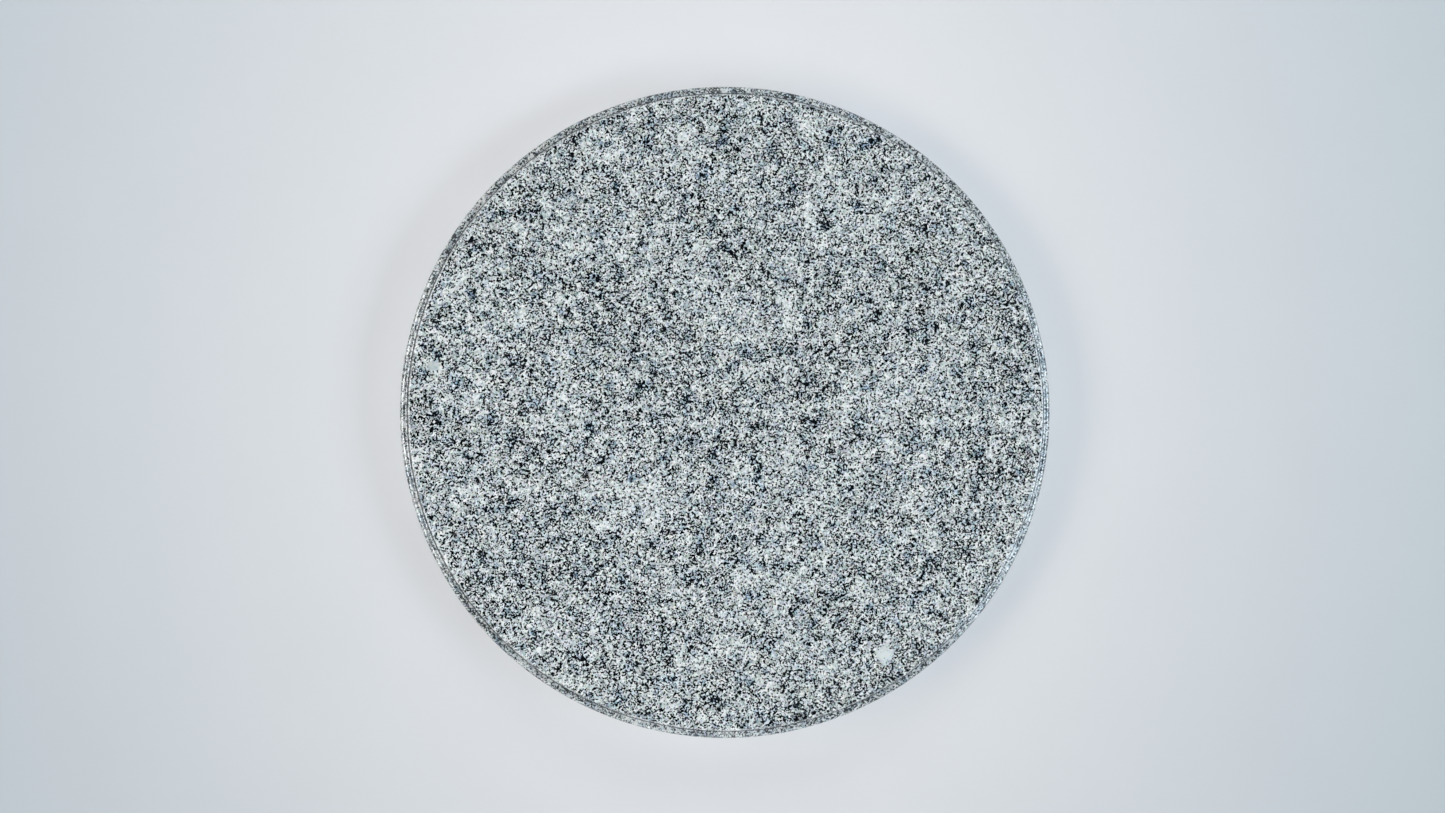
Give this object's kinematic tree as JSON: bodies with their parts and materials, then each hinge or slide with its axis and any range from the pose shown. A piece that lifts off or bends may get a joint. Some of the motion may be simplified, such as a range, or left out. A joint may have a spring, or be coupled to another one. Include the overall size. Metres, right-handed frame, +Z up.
{
  "type": "granite slab",
  "caption": "Round polished granite slab with an ogee rim, standing on small stick-on rubber feet, used as a hard flat base for tooling leather.",
  "frame": {"origin": "centre of the plane that the feet rest on", "axes": "+Z up, square to the working face; +X right and -Y towards the user"},
  "size_m": [0.3, 0.3, 0.023],
  "materials": {
    "granite": "polished",
    "foot_rubber": "matte",
    "adhesive_foam": "matte"
  },
  "bodies": {
    "root": {"granite_slab": "granite", "front_right_rubber_foot": "foot_rubber", "front_right_adhesive_pad": "adhesive_foam", "rear_right_rubber_foot": "foot_rubber", "rear_right_adhesive_pad": "adhesive_foam", "rear_left_rubber_foot": "foot_rubber", "rear_left_adhesive_pad": "adhesive_foam", "front_left_rubber_foot": "foot_rubber", "front_left_adhesive_pad": "adhesive_foam"}
  },
  "joints": []
}
